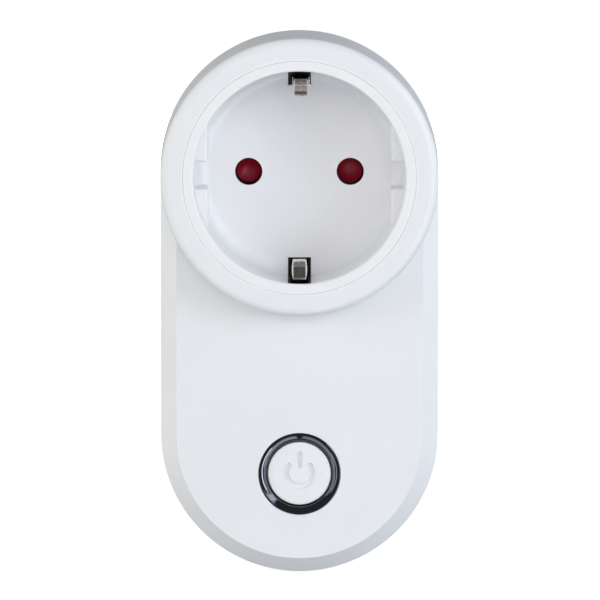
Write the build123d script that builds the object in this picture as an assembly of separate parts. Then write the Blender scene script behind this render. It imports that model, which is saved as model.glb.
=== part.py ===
from build123d import *
import math
import os

# Plug-through power meter for earthed two-pin sockets, in millimetres.
# The origin is on the common axis of plug and socket, in the plane of the wall
# face. X is to the right, Z is up and the front looks towards -Y, so a height
# is a distance in front of the wall face and stands for -Y.

# Mains interface, set by the plug and socket system
pin_spacing = 19.0
pin_diameter = 4.8
pin_length = 19.0
pin_tip_round = 1.6
pin_relief_width = 0.4
pin_relief_depth = 0.4
pin_hole_diameter = 5.1
recess_mouth_diameter = 39.2
recess_depth = 17.5
recess_draft = 0.8
recess_floor_fillet = 2.5
mouth_edge_round = 0.35
lug_flat_distance = 17.0
lug_span = 20.0
lug_notch_width = 5.0
lug_setback = 7.0
lug_round = 0.5
plug_diameter = 37.2
plug_depth = 17.5
plug_end_chamfer = 1.2
plug_wall = 3.0
plug_inner_wall = 1.85
plug_lug_clearance = 0.4
plug_hole_gap = 0.1
plug_flange_width = 1.0
plug_flange_thickness = 1.0

# Housing
body_depth = 40.0
lower_face_height = 32.0
parting_height = 16.0
collar_land_width = 4.05
arc_distance = 48.8
draft_angle = 1.35
rear_draft_angle = 3.0
wall = 2.0
front_wall = 2.2
face_chamfer_width = 3.0
face_chamfer_depth = 3.75
collar_round = 1.5
rear_round = 2.0
seam_clearance = 0.05
seam_break = 0.05
tongue_height = 1.4
tongue_clearance = 0.1
edge_break = 0.25

# Socket insert
insert_rim_width = 1.95
cup_wall = 1.4
floor_thickness = 2.5
shoulder_gap = 0.2
shoulder_height = 1.5
pivot_diameter = 4.0
pivot_length = 6.4

# Earth slots, leaves and strap
slot_start = 16.15
slot_end_wall = 0.2
slot_rim = 0.8
cheek_thickness = 0.4
cheek_gap = 0.05
cheek_sink = 0.4
leaf_width = 3.0
leaf_side_gap = 0.2
leaf_apex_width = 2.35
leaf_fold_width = 2.75
leaf_end_width = 2.5
leaf_rim_width = 0.25
leaf_rim_rise = 0.5
leaf_thickness = 0.4
leaf_foot_radius = 17.6
leaf_foot_length = 4.0
leaf_foot_overlap = 1.4
leaf_apex_radius = 15.0
leaf_apex_depth = 5.0
leaf_fold_radius = 16.7
leaf_fold_depth = 3.9
leaf_end_radius = 18.0
leaf_end_depth = 2.3
leaf_tip_radius = 19.1
leaf_tip_depth = 1.4
leaf_flange_height = 1.0
leaf_seat_gap = 0.3
leaf_seat_thickness = 1.0
slot_back_gap = 0.3
leaf_flange_thickness = 0.25
leaf_bend_round = 0.6
strap_gap = 0.4
strap_thickness = 0.8
earth_bar_width = 6.0
earth_tab_drop = 0.3
plug_strip_sink = 1.7
plug_strip_thickness = 0.7
plug_strip_width = 5.0
plug_strip_margin = 3.0
plug_strip_clearance = 0.15

# Shutter and its spring
shutter_thickness = 2.1
shutter_gap = 0.3
shutter_hub_diameter = 8.4
shutter_cover = 0.4
shutter_web_width = 4.2
shutter_dish_diameter = 5.0
shutter_dish_depth = 1.5
shutter_dish_shift = 0.3
pivot_clearance = 0.05
spring_wire = 0.45
spring_diameter = 6.2
spring_turns = 3

# Contact carrier, contacts and copper
carrier_step = 0.6
carrier_shutter_gap = 1.6
carrier_spring_well = 8.8
carrier_well_depth = 4.0
carrier_ring_width = 1.2
carrier_ring_gap = 0.2
tower_width = 8.6
tower_wall = 1.0
tower_gap = 0.15
tower_top_gap = 0.3
sleeve_bore = 4.9
sleeve_wall = 0.6
sleeve_sink = 0.5
sleeve_slit = 0.8
sleeve_gap = 0.05
strap_width = 5.0
strap_clearance = 0.1
pin_collar_diameter = 5.8
pin_collar_rise = 0.1
pin_head_diameter = 6.8
pin_head_height = 1.5
pin_stub_diameter = 3.2
pin_stub_rise = 0.4
pin_seat_gap = 0.03
strap_layer_gap = 0.3
strap_drop = 24.2
live_in_offset = 7.0
live_leg_width = 4.0
live_out_width = 3.3

# Button, light ring and switch
button_offset = 7.05
button_diameter = 11.8
button_recess = 0.7
button_edge_round = 0.3
button_lip = 0.8
button_lip_height = 1.0
button_rest_gap = 0.1
button_wall = 1.4
button_stem_diameter = 3.6
button_travel = 0.6
ring_diameter = 15.3
ring_throat_diameter = 13.3
ring_trench_depth = 2.9
ring_lip = 0.2
ring_bore_gap = 0.25
ring_flange_diameter = 18.0
ring_flange_height = 1.5
ring_hole_gap = 0.05
ring_leg_width = 3.0
ring_leg_depth = 1.5
ring_leg_place = 7.8
switch_size = 6.0
switch_height = 3.5
plunger_diameter = 3.4
plunger_sink = 0.9
led_width = 1.6
led_length = 0.9
led_height = 0.7
led_gap = 0.3

# Board and what it carries
board_depth = 9.8
board_thickness = 1.6
board_margin = 1.2
board_top_distance = 19.0
board_cup_clearance = 0.6
board_boss_clearance = 0.4
relay_width = 12.7
relay_end_gap = 1.2
relay_back_gap = 0.7
relay_distance = 31.4
part_break = 0.5
radio_width = 16.0
radio_length = 19.0
radio_height = 0.8
radio_distance = 34.5
shield_width = 12.6
shield_length = 13.0
shield_height = 2.0
shield_offset = 1.6
chip_width = 3.9
chip_length = 9.9
chip_height = 1.5
chip_row_gap = 0.9
chip_shift = -8.0
chip_lead_pitch = 1.27
chip_lead_reach = 1.0
shunt_width = 4.0
shunt_length = 9.0
shunt_height = 1.8
shunt_side_gap = 1.5
shunt_distance = 36.6
shunt_arch = 1.0
can_diameter = 8.0
can_height = 12.0
can_shifts = (9.9, 8.6)
can_gap = 0.6
inductor_diameter = 6.5
inductor_height = 8.0
inductor_flange = 1.0
inductor_core = 4.4
inductor_place = (0.6, -2.8)
rectifier_width = 4.7
rectifier_length = 4.1
rectifier_height = 2.5
rectifier_place = (-6.5, -3.3)
resistor_diameter = 3.5
resistor_length = 7.5
resistor_wire_diameter = 0.7
resistor_wire_reach = 1.3
resistor_place = (-4.2, -9.8)
varistor_diameter = 9.0
varistor_height = 4.0
varistor_place = (2.5, -15.0)

# Screws, bosses and posts
screw_diameter = 2.7
screw_length = 20.0
screw_head_diameter = 5.2
screw_head_height = 2.0
screw_sink = 1.0
screw_hole_gap = 0.05
screw_pass_gap = 0.25
screw_head_gap = 0.3
screw_slot_width = 0.8
screw_slot_depth = 0.8
boss_diameter = 6.0
rear_boss_diameter = 7.6
boss_hole_extra = 1.5
boss_inset = 6.8
mid_boss_distance = 28.0
low_boss_angle = 38.0
board_screw_diameter = 2.0
board_screw_length = 6.0
board_screw_head = 3.8
board_screw_head_height = 1.2
board_post_diameter = 4.8
board_post_inset = 8.1
board_post_distance = 45.0
carrier_post_diameter = 4.4
carrier_post_place = 12.4
carrier_head_sink = 1.9

# Sizes worked out from the ones above
pin_reach = pin_spacing / 2
pin_radius = pin_diameter / 2
recess_floor = body_depth - recess_depth
floor_back = recess_floor - floor_thickness
face_back = lower_face_height - front_wall
collar_back = body_depth - front_wall
shoulder_low = collar_back - shoulder_height
mouth_radius = recess_mouth_diameter / 2
cup_radius = mouth_radius + cup_wall
seam_radius = mouth_radius + insert_rim_width
draft_slope = math.tan(math.radians(draft_angle))
outline_radius = seam_radius + collar_land_width + (body_depth - parting_height) * draft_slope
shoulder_radius = outline_radius - (collar_back - parting_height) * draft_slope - wall - shoulder_gap
slot_width = leaf_width + 2 * (leaf_side_gap + cheek_thickness + cheek_gap)
slot_pocket_radius = cup_radius - slot_end_wall
slot_high = body_depth - slot_rim
tower_depth = math.sqrt(shoulder_radius ** 2 - (tower_width / 2) ** 2)
plug_radius = plug_diameter / 2
plug_seat = plug_wall - plug_depth
plug_strip_outer = plug_radius - plug_strip_sink
plug_strip_inner = plug_strip_outer - plug_strip_thickness
plug_cavity_radius = plug_strip_inner - plug_strip_clearance - plug_inner_wall
flange_high = wall + plug_flange_thickness
strap_low = flange_high + strap_layer_gap
strap_high = strap_low + strap_thickness
carrier_low = strap_high + strap_gap
shutter_high = floor_back - shutter_gap
shutter_low = shutter_high - shutter_thickness
carrier_high = shutter_low - carrier_shutter_gap
boss_engagement = floor_back - carrier_high - strap_gap
carrier_screw_low = carrier_low + board_screw_head_height + carrier_head_sink
carrier_screw_length = carrier_high + boss_engagement - carrier_screw_low
sleeve_radius = sleeve_bore / 2 + sleeve_wall
sleeve_high = carrier_high - strap_thickness - strap_clearance
sleeve_low = carrier_low + sleeve_sink
sleeve_middle = (sleeve_low + sleeve_high) / 2
strap_inner = pin_reach + sleeve_radius + sleeve_gap
strap_outer = strap_inner + strap_thickness
tab_inner = leaf_foot_radius + leaf_thickness / 2 + strap_gap
tab_outer = tab_inner + strap_thickness
pin_head_top = plug_seat + pin_head_height
button_distance = arc_distance + button_offset
ring_floor = lower_face_height - ring_trench_depth
ring_low = face_back - ring_flange_height
button_top = lower_face_height - button_recess
button_low = ring_low - button_rest_gap - button_lip_height
board_front_height = face_back - board_depth
board_back = board_front_height - board_thickness
switch_top = board_front_height + switch_height
plunger_top = switch_top + button_travel + 2 * button_rest_gap + button_edge_round
boss_reach = outline_radius - boss_inset
low_boss_turn = math.radians(low_boss_angle)
low_boss_shift = boss_reach * math.cos(low_boss_turn)
low_boss_distance = arc_distance + boss_reach * math.sin(low_boss_turn)
mid_bosses = [(side * boss_reach, -mid_boss_distance) for side in (-1, 1)]
low_bosses = [(side * low_boss_shift, -low_boss_distance) for side in (-1, 1)]
case_bosses = mid_bosses + low_bosses
board_post_shift = outline_radius - board_post_inset
board_posts = [(side * board_post_shift, -board_post_distance) for side in (-1, 1)]
carrier_posts = [(side * carrier_post_place, side * carrier_post_place) for side in (-1, 1)]
relay_length = 2 * (boss_reach - rear_boss_diameter / 2 - relay_end_gap)
relay_height = board_back - wall - relay_back_gap
relay_bottom = relay_distance + relay_width / 2
shunt_place = (-relay_length / 2 - shunt_side_gap - shunt_width / 2, -shunt_distance)
chip_place = (chip_shift, -relay_bottom - chip_row_gap - chip_lead_reach - chip_width / 2)


def facing(height):
    return Plane.XZ.offset(height)


def extruded(sketch, low, high):
    return extrude(facing(low) * sketch, amount=high - low)


def disc(radius, low, high, place=(0, 0)):
    return extruded(Pos(*place) * Circle(radius), low, high)


def tube(outer, inner, low, high, place=(0, 0)):
    return disc(outer, low, high, place) - disc(inner, low, high, place)


def block(x_low, x_high, z_low, z_high, low, high):
    centre = ((x_low + x_high) / 2, (z_low + z_high) / 2)
    return extruded(Pos(*centre) * Rectangle(x_high - x_low, z_high - z_low), low, high)


def centred_block(place, width, length, low, high):
    return extruded(Pos(*place) * Rectangle(width, length), low, high)


def both_ends(shape):
    return shape + shape.rotate(Axis.Y, 180)


def joined(shapes):
    total = shapes[0]
    for shape in shapes[1:]:
        total = total + shape
    return total


def turned(points):
    """Solid of revolution about the socket axis from (radius, height) points."""
    profile = Plane.XY * make_face(Polyline(*[(r, -h) for r, h in points], close=True))
    return revolve(profile, axis=Axis.Y)


def radius_at(height):
    """Outer radius of the front shell, drafted from the parting plane."""
    return outline_radius - (height - parting_height) * draft_slope


def below_arc(place):
    """A place given from the centre of the lower arc."""
    return (place[0], place[1] - arc_distance)


def capsule_sketch(radius):
    slot = SlotCenterToCenter(arc_distance, 2 * radius)
    return Pos(0, -arc_distance / 2) * Rot(0, 0, 90) * slot


def capsule(radius, low, high, taper=0.0):
    return extrude(facing(low) * capsule_sketch(radius), amount=high - low, taper=taper)


def front_form(inset, face, collar):
    """Capsule with a chamfered lower face and the round collar on it, set in by inset."""
    chamfer_low = face - face_chamfer_depth
    slope = math.degrees(math.atan(face_chamfer_width / face_chamfer_depth))
    side = capsule(outline_radius - inset, parting_height, chamfer_low, draft_angle)
    step = radius_at(chamfer_low) - inset
    brow = capsule(step, chamfer_low, face, slope)
    neck = turned(
        [
            (0, parting_height),
            (outline_radius - inset, parting_height),
            (radius_at(collar) - inset, collar),
            (0, collar),
        ]
    )
    if inset == 0:
        rim = neck.edges().filter_by(GeomType.CIRCLE).sort_by(Axis.Y)[0]
        neck = fillet(rim, collar_round)
    return side + brow + neck


def rear_form(inset, depth):
    """Capsule from the parting plane back towards the wall, set in by inset."""
    back = Plane(origin=(0, -parting_height, 0), x_dir=(1, 0, 0), z_dir=(0, 1, 0))
    slot = SlotCenterToCenter(arc_distance, 2 * (outline_radius - inset))
    sketch = Pos(0, arc_distance / 2) * Rot(0, 0, 90) * slot
    return extrude(back * sketch, amount=depth, taper=rear_draft_angle)


def front_housing():
    shell = front_form(0, lower_face_height, body_depth)
    shell = chamfer(shell.faces().sort_by(Axis.Y)[-1].edges(), edge_break)
    shell = shell - front_form(wall, face_back, collar_back)
    mouth = disc(seam_radius, collar_back - 1, body_depth + 1)
    shell = shell - mouth
    rim = shell.edges().filter_by(GeomType.CIRCLE).group_by(Axis.Y)[0]
    rim = rim.filter_by(lambda edge: abs(edge.radius - seam_radius) < 0.01)
    shell = chamfer(rim, seam_break)
    tongue_room = capsule(
        outline_radius - wall / 2, parting_height - 1, parting_height + tongue_height + 0.2
    )
    shell = shell - tongue_room
    for place in case_bosses:
        boss = disc(boss_diameter / 2, parting_height, face_back, place)
        inside = front_form(wall / 2, face_back + front_wall / 2, collar_back)
        shell = shell + (boss & inside)
    for place in board_posts:
        shell = shell + disc(board_post_diameter / 2, board_front_height, face_back, place)
    for place in case_bosses:
        end = screw_sink + screw_head_height + screw_length + boss_hole_extra
        hole = disc(screw_diameter / 2 + screw_hole_gap, parting_height - 1, end, place)
        shell = shell - hole
    for place in board_posts:
        end = board_back + board_screw_length + boss_hole_extra
        hole = disc(board_screw_diameter / 2 + screw_hole_gap, board_back, end, place)
        shell = shell - hole
    ring_hole = ring_diameter / 2 + ring_hole_gap
    shell = shell - disc(ring_hole, face_back - 1, lower_face_height + 1, (0, -button_distance))
    return shell


def rear_housing():
    shell = rear_form(0, parting_height)
    shell = fillet(shell.faces().sort_by(Axis.Y)[-1].edges(), rear_round)
    shell = chamfer(shell.faces().sort_by(Axis.Y)[0].edges(), edge_break)
    shell = shell - rear_form(wall, parting_height - wall)
    shell = shell - disc(plug_radius + plug_hole_gap, -1, wall + 1)
    tongue_low = parting_height - 1
    tongue_high = parting_height + tongue_height
    tongue = capsule(outline_radius - wall / 2 - tongue_clearance, tongue_low, tongue_high)
    tongue = tongue - capsule(outline_radius - wall, tongue_low, tongue_high)
    shell = shell + tongue
    for place in case_bosses:
        shell = shell + disc(rear_boss_diameter / 2, wall / 2, parting_height, place)
    sink = screw_sink + screw_head_height
    for place in case_bosses:
        shell = shell - disc(screw_diameter / 2 + screw_pass_gap, -1, parting_height + 1, place)
        shell = shell - disc(screw_head_diameter / 2 + screw_head_gap, -1, sink, place)
    return shell


def plug_profile():
    """Section of the rear plug: round, with guide grooves at the sides and strip grooves."""
    profile = Sketch() + Circle(plug_radius)
    groove = lug_flat_distance - plug_lug_clearance
    span = lug_span + 2 * plug_lug_clearance
    rib = lug_notch_width - 2 * plug_lug_clearance
    strip_width = plug_strip_width + 2 * plug_strip_clearance
    strip_floor = plug_strip_inner - plug_strip_clearance
    depth = plug_radius - strip_floor + 1
    for side in (-1, 1):
        middle = side * (groove + plug_radius) / 2
        cut = Pos(middle, 0) * Rectangle(plug_radius - groove, span)
        cut = cut - Pos(middle, 0) * Rectangle(plug_radius - groove, rib)
        profile = profile - cut
        profile = profile - Pos(0, side * (strip_floor + depth / 2)) * Rectangle(strip_width, depth)
    return profile


def plug_base():
    """Plug body that passes through the rear housing and rests on it by an inner flange."""
    body = extruded(plug_profile(), -plug_depth, flange_high)
    body = body & turned(
        [
            (0, -plug_depth),
            (plug_radius - plug_end_chamfer, -plug_depth),
            (plug_radius, plug_end_chamfer - plug_depth),
            (plug_radius, flange_high),
            (0, flange_high),
        ]
    )
    body = body + disc(plug_radius + plug_flange_width, wall, flange_high)
    body = body - disc(plug_cavity_radius, plug_seat, flange_high + 1)
    half_x = strap_outer + strap_clearance
    half_z = strap_width / 2 + strap_clearance
    body = body - block(-half_x, half_x, -half_z, half_z, plug_seat, flange_high + 1)
    for side in (-1, 1):
        place = (side * pin_reach, 0)
        collar = pin_collar_diameter / 2 + pin_seat_gap
        body = body - disc(collar, -plug_depth - 1, plug_seat + 1, place)
        head = pin_head_diameter / 2 + strap_clearance
        body = body - disc(head, plug_seat, flange_high + 1, place)
    strip = plug_strip_solid(plug_strip_clearance, flange_high + 1)
    return body - both_ends(strip)


def plug_strip_solid(growth, high):
    half = plug_strip_width / 2 + growth
    near = plug_strip_inner - growth
    far = plug_strip_outer + growth
    return block(-half, half, near, far, plug_strip_margin - plug_depth, high)


def recess_form(growth=0.0):
    """Space of the socket recess, mouth to floor, with its rounded floor edge."""
    mouth = mouth_radius + growth
    floor = recess_floor - growth
    root = mouth - recess_depth * math.tan(math.radians(recess_draft))
    recess = turned(
        [(0, floor), (root, floor), (mouth, body_depth), (mouth, body_depth + 1), (0, body_depth + 1)]
    )
    floor_edge = recess.edges().filter_by(GeomType.CIRCLE).sort_by(Axis.Y)[-1]
    return fillet(floor_edge, recess_floor_fillet)


def lug():
    """Side guide: a flat-faced rib standing on the recess wall, beside the middle notch."""
    high = body_depth - lug_setback
    outer = cup_radius - cup_wall / 3
    low = lug_notch_width / 2
    rib = block(lug_flat_distance, outer, low, lug_span / 2, recess_floor - 1, high)
    front = rib.faces().sort_by(Axis.Y)[0].edges()
    corner = rib.edges().filter_by(Axis.Y).group_by(Axis.X)[0].sort_by(Axis.Z)[0]
    rib = fillet(front + [corner], lug_round)
    return rib & disc(outer, recess_floor - 1, high)


def socket_insert():
    cup = turned(
        [
            (0, floor_back),
            (cup_radius, floor_back),
            (cup_radius, shoulder_low),
            (shoulder_radius, shoulder_low),
            (shoulder_radius, collar_back),
            (seam_radius - seam_clearance, collar_back),
            (seam_radius - seam_clearance, body_depth),
            (0, body_depth),
        ]
    )
    rim = cup.edges().filter_by(GeomType.CIRCLE).sort_by(Axis.Y)[0]
    cup = chamfer(rim, seam_break)
    cup = cup - recess_form()
    mouth = cup.edges().filter_by(GeomType.CIRCLE).group_by(Axis.Y)[0].sort_by(SortBy.RADIUS)[0]
    cup = fillet(mouth, mouth_edge_round)
    ribs = lug() + mirror(lug(), about=Plane.XY)
    cup = cup + both_ends(ribs)
    for side in (-1, 1):
        place = (side * pin_reach, 0)
        cup = cup - disc(pin_hole_diameter / 2, floor_back - 1, recess_floor + 1, place)
    half = slot_width / 2
    through = block(-half, half, slot_start, shoulder_radius, floor_back - 1, shoulder_low)
    pocket = block(-half, half, slot_start, slot_pocket_radius, floor_back - 1, slot_high)
    cup = cup - both_ends(through + pocket)
    cup = cup + disc(pivot_diameter / 2, floor_back - pivot_length, floor_back + 0.5)
    for place in carrier_posts:
        post = disc(carrier_post_diameter / 2, carrier_high, floor_back + 0.5, place)
        cup = cup + post
    for place in carrier_posts:
        hole = disc(
            board_screw_diameter / 2 + screw_hole_gap, carrier_high - 1, floor_back, place
        )
        cup = cup - hole
    return cup


def contact_carrier():
    body = disc(cup_radius - carrier_step, carrier_low, carrier_high)
    ring_inner = carrier_spring_well / 2
    ring_outer = ring_inner + carrier_ring_width
    body = body + disc(ring_outer, carrier_high, shutter_low - carrier_ring_gap)
    body = body - disc(ring_inner, carrier_high - carrier_well_depth, shutter_low)
    body = body + both_ends(tower()) - both_ends(tower_room())
    body = body + both_ends(slot_lining() - recess_form(cheek_sink))
    for side in (-1, 1):
        place = (side * pin_reach, 0)
        body = body - disc(sleeve_radius + sleeve_gap, carrier_low - 1, sleeve_high, place)
        body = body - disc(pin_hole_diameter / 2, carrier_low, carrier_high + 1, place)
        inner = pin_reach + sleeve_radius - 1
        outer = strap_outer + strap_clearance
        half = strap_width / 2 + strap_clearance
        x_low, x_high = sorted((side * inner, side * outer))
        body = body - block(x_low, x_high, -half, half, carrier_low - 1, sleeve_high)
    for place in carrier_posts:
        radius = board_screw_diameter / 2 + screw_pass_gap
        body = body - disc(radius, carrier_low - 1, carrier_high + 1, place)
        head = board_screw_head / 2 + screw_head_gap
        body = body - disc(head, carrier_low - 1, carrier_screw_low, place)
    return body


def tower():
    """Mast behind each earth slot, before its room is cut."""
    half = tower_width / 2
    high = shoulder_low - tower_top_gap
    under_floor = floor_back - shutter_gap
    foot = block(-half, half, slot_start, tower_depth, carrier_low, under_floor)
    mast = block(-half, half, cup_radius + tower_gap, tower_depth, carrier_low, high)
    return foot + mast


def tower_room():
    """Space for the leaf and the strap's tab, through the carrier and between the cheeks."""
    half = tower_width / 2 - tower_wall
    return block(-half, half, slot_start - 1, tower_depth - tower_wall, carrier_low - 1, body_depth)


def slot_lining():
    """Black lining of an earth slot, before the recess is cut from it.

    Two cheeks stand either side of the leaf, a back closes the slot behind it and a seat
    crosses the room under its foot.
    """
    near = leaf_width / 2 + leaf_side_gap
    base = tower_width / 2 - tower_wall / 2
    low = slot_start + cheek_gap
    outer = slot_pocket_radius - cheek_gap
    under_floor = floor_back - shutter_gap
    cheek = block(near, near + cheek_thickness, low, outer, carrier_low, slot_high - cheek_gap)
    root = block(near, base, low, outer, carrier_low, under_floor)
    sides = cheek + root + mirror(cheek + root, about=Plane.YZ)
    back_low = floor_back - earth_tab_drop + slot_back_gap
    back = block(-near, near, tab_inner, outer, back_low, recess_floor)
    seat_high = floor_back - leaf_foot_overlap - leaf_seat_gap
    seat_low = seat_high - leaf_seat_thickness
    seat = block(-base, base, slot_start - 1.5, tab_inner - cheek_gap, seat_low, seat_high)
    return sides + back + seat


def contact_sleeve(side):
    place = (side * pin_reach, 0)
    sleeve = tube(sleeve_radius, sleeve_bore / 2, sleeve_low, sleeve_high, place)
    half = sleeve_slit / 2
    slit_low = (sleeve_low + sleeve_middle) / 2
    reach = sleeve_radius + 1
    x_low, x_high = side * pin_reach - reach, side * pin_reach + reach
    upright = block(
        side * pin_reach - half, side * pin_reach + half, -reach, reach, slit_low, sleeve_high + 1
    )
    across = block(x_low, x_high, -half, half, sleeve_middle, sleeve_high + 1)
    return sleeve - upright - across


def earth_strap():
    half = earth_bar_width / 2
    bar = block(-half, half, -tab_outer, tab_outer, flange_high, flange_high + strap_thickness)
    tab_half = leaf_width / 2
    tab_high = floor_back - earth_tab_drop
    tab = block(-tab_half, tab_half, tab_inner, tab_outer, flange_high, tab_high)
    return bar + both_ends(tab)


def leaf_face():
    """Lead-in face of the leaf's centre line, apex to end, as (radius, height) points."""
    return [
        (leaf_apex_radius + leaf_thickness / 2, body_depth - leaf_apex_depth),
        (leaf_fold_radius, body_depth - leaf_fold_depth),
        (leaf_end_radius, body_depth - leaf_end_depth),
    ]


def leaf_flange():
    """Outer edge of the lead-in face, turned back, which runs on past its end to the tip."""
    front = leaf_face()[1:] + [(leaf_tip_radius, body_depth - leaf_tip_depth)]
    back = [(radius, height - leaf_flange_height) for radius, height in reversed(front)]
    outline = [(-height, radius) for radius, height in front + back]
    inner = leaf_width / 2 - leaf_flange_thickness
    face = Plane.YZ.offset(inner) * make_face(Polyline(*outline, close=True))
    return extrude(face, amount=leaf_flange_thickness)


def leaf_outline(inset):
    """Front view of the leaf: widest at the fold, narrower at the apex and the end."""
    radii = (leaf_apex_radius - 1, leaf_apex_radius, leaf_fold_radius, leaf_end_radius, slot_pocket_radius)
    widths = (leaf_apex_width, leaf_apex_width, leaf_fold_width, leaf_end_width, leaf_end_width)
    right = [(width / 2 - inset, radius) for width, radius in zip(widths, radii)]
    left = [(-x, radius) for x, radius in reversed(right)]
    low = floor_back - leaf_foot_overlap - 1
    return extruded(make_face(Polyline(*right, *left, close=True)), low, body_depth)


def earth_leaf():
    """Sprung strip: foot, long run to the apex, and a folded lead-in face with raised rims."""
    foot_low = floor_back - leaf_foot_overlap
    foot = [(leaf_foot_radius, foot_low), (leaf_foot_radius, foot_low + leaf_foot_length)]
    points = [(-height, radius) for radius, height in foot + leaf_face()]
    line = FilletPolyline(*points, radius=leaf_bend_round)
    strip = Plane.YZ * make_face(offset(line, leaf_thickness / 2, side=Side.BOTH).edges())
    leaf = extrude(strip, amount=leaf_width / 2, both=True) & leaf_outline(0)
    face_line = [(-height - leaf_rim_rise, radius) for radius, height in leaf_face()]
    rim_strip = Plane.YZ * make_face(Polyline(*face_line, *reversed(points[2:]), close=True))
    rims = extrude(rim_strip, amount=leaf_width / 2, both=True) & leaf_outline(0)
    rims = rims - leaf_outline(leaf_rim_width)
    return leaf + rims + leaf_flange() + mirror(leaf_flange(), about=Plane.YZ)


def shutter():
    lobe = pin_hole_diameter / 2 + shutter_cover
    outline = Sketch() + Circle(shutter_hub_diameter / 2)
    outline = outline + Rectangle(pin_spacing, shutter_web_width)
    for side in (-1, 1):
        outline = outline + Pos(side * pin_reach, 0) * Circle(lobe)
    outline = outline - Circle(pivot_diameter / 2 + pivot_clearance)
    plate = extruded(outline, shutter_low, shutter_high)
    half = shutter_dish_diameter / 2
    ball = (half ** 2 + shutter_dish_depth ** 2) / (2 * shutter_dish_depth)
    centre = shutter_high - shutter_dish_depth + ball
    dish = Pos(pin_reach, -centre, shutter_dish_shift) * Sphere(ball)
    return plate - both_ends(dish)


def shutter_spring():
    low = carrier_high - carrier_well_depth + spring_wire / 2 + pivot_clearance
    high = shutter_low - spring_wire / 2 - pivot_clearance
    radius = spring_diameter / 2
    pitch = (high - low) / spring_turns
    line = Helix(pitch=pitch, height=high - low, radius=radius)
    section = Plane(origin=line @ 0, z_dir=line % 0) * RegularPolygon(spring_wire / 2, 6)
    coil = sweep(section, path=line, is_frenet=True)
    return Pos(0, -low, 0) * Rot(90, 0, 0) * coil


def plug_pin(side):
    """Turned pin: round-ended shaft, relief, collar in the plug's end wall, head and stub."""
    collar_low = -plug_depth - pin_collar_rise
    shaft_high = collar_low - pin_relief_width
    tip = -plug_depth - pin_length
    stub_high = pin_head_top + strap_thickness + pin_stub_rise
    pin = turned(
        [
            (0, tip),
            (pin_radius, tip),
            (pin_radius, shaft_high),
            (pin_radius - pin_relief_depth, shaft_high),
            (pin_radius - pin_relief_depth, collar_low),
            (pin_collar_diameter / 2, collar_low),
            (pin_collar_diameter / 2, plug_seat),
            (pin_head_diameter / 2, plug_seat),
            (pin_head_diameter / 2, pin_head_top),
            (pin_stub_diameter / 2, pin_head_top),
            (pin_stub_diameter / 2, stub_high),
            (0, stub_high),
        ]
    )
    end = pin.edges().filter_by(GeomType.CIRCLE).sort_by(Axis.Y)[-1]
    return Pos(side * pin_reach, 0, 0) * fillet(end, pin_tip_round)


def pin_pad(side, x_low, x_high):
    """Flat end of a strap on a pin head, with the hole for the pin's stub."""
    half = strap_width / 2
    low, high = pin_head_top, pin_head_top + strap_thickness
    pad = block(x_low, x_high, -half, half, low, high)
    hole = pin_stub_diameter / 2 + screw_hole_gap
    return pad - disc(hole, low - 1, high + 1, (side * pin_reach, 0))


def neutral_strap():
    half = strap_width / 2
    riser = block(strap_inner, strap_outer, -half, half, pin_head_top, sleeve_middle)
    return pin_pad(1, pin_reach - half, strap_outer) + riser


def live_in_strap():
    x_low = -live_in_offset - live_leg_width / 2
    x_high = x_low + live_leg_width
    half = strap_width / 2
    low, high = pin_head_top, pin_head_top + strap_thickness
    reach = plug_cavity_radius - 2 * strap_thickness
    corner = math.sqrt(reach ** 2 - x_low ** 2)
    leg = block(x_low, x_high, -corner, strap_thickness - half, low, high)
    riser = block(x_low, x_high, -corner, strap_thickness - corner, low, strap_high)
    layer = block(x_low, x_high, -strap_drop, strap_thickness - corner, strap_low, strap_high)
    drop = block(x_low, x_high, -strap_drop, strap_thickness - strap_drop, strap_low, board_back)
    pad = pin_pad(-1, -pin_reach - half, x_high)
    return joined([pad, leg, riser, layer, drop])


def live_out_strap():
    half = strap_width / 2
    outer = strap_inner + live_out_width
    riser = block(-strap_outer, -strap_inner, -half, half, strap_low, sleeve_middle)
    layer = block(-outer, -strap_inner, -strap_drop, half, strap_low, strap_high)
    fold = strap_thickness - strap_drop
    drop = block(-outer, -strap_inner, -strap_drop, fold, strap_low, board_back)
    return joined([riser, layer, drop])


def light_ring():
    """Round light guide: cone, trench floor, flange behind the face and two legs to the lamps."""
    edge = ring_diameter / 2
    throat = ring_throat_diameter / 2
    bore = button_diameter / 2 + ring_bore_gap
    ring = turned(
        [
            (bore, ring_low),
            (ring_flange_diameter / 2, ring_low),
            (ring_flange_diameter / 2, face_back),
            (edge, face_back),
            (edge, lower_face_height),
            (edge - ring_lip, lower_face_height),
            (throat, ring_floor),
            (bore, ring_floor),
        ]
    )
    ring = Pos(0, 0, -button_distance) * ring
    leg_low = board_front_height + led_height + led_gap
    for side in (-1, 1):
        place = (side * ring_leg_place, -button_distance)
        leg = centred_block(place, ring_leg_depth, ring_leg_width, leg_low, ring_low + 0.5)
        ring = ring + leg
    return ring


def power_button():
    """Cap with a hollow skirt, a retaining lip behind the ring and a stem to the switch."""
    radius = button_diameter / 2
    lip = radius + button_lip
    cap = turned([(0, button_low), (radius, button_low), (radius, button_top), (0, button_top)])
    rim = cap.edges().filter_by(GeomType.CIRCLE).sort_by(Axis.Y)[0]
    cap = fillet(rim, button_edge_round)
    cap = cap + disc(lip, button_low, ring_low - button_rest_gap)
    cap = cap - disc(radius - button_wall, button_low - 1, button_top - button_wall)
    cap = cap + disc(button_stem_diameter / 2, plunger_top, button_top - button_wall / 2)
    return Pos(0, 0, -button_distance) * cap


def switch_plunger():
    low = switch_top - plunger_sink
    return disc(plunger_diameter / 2, low, plunger_top, (0, -button_distance))


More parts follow.
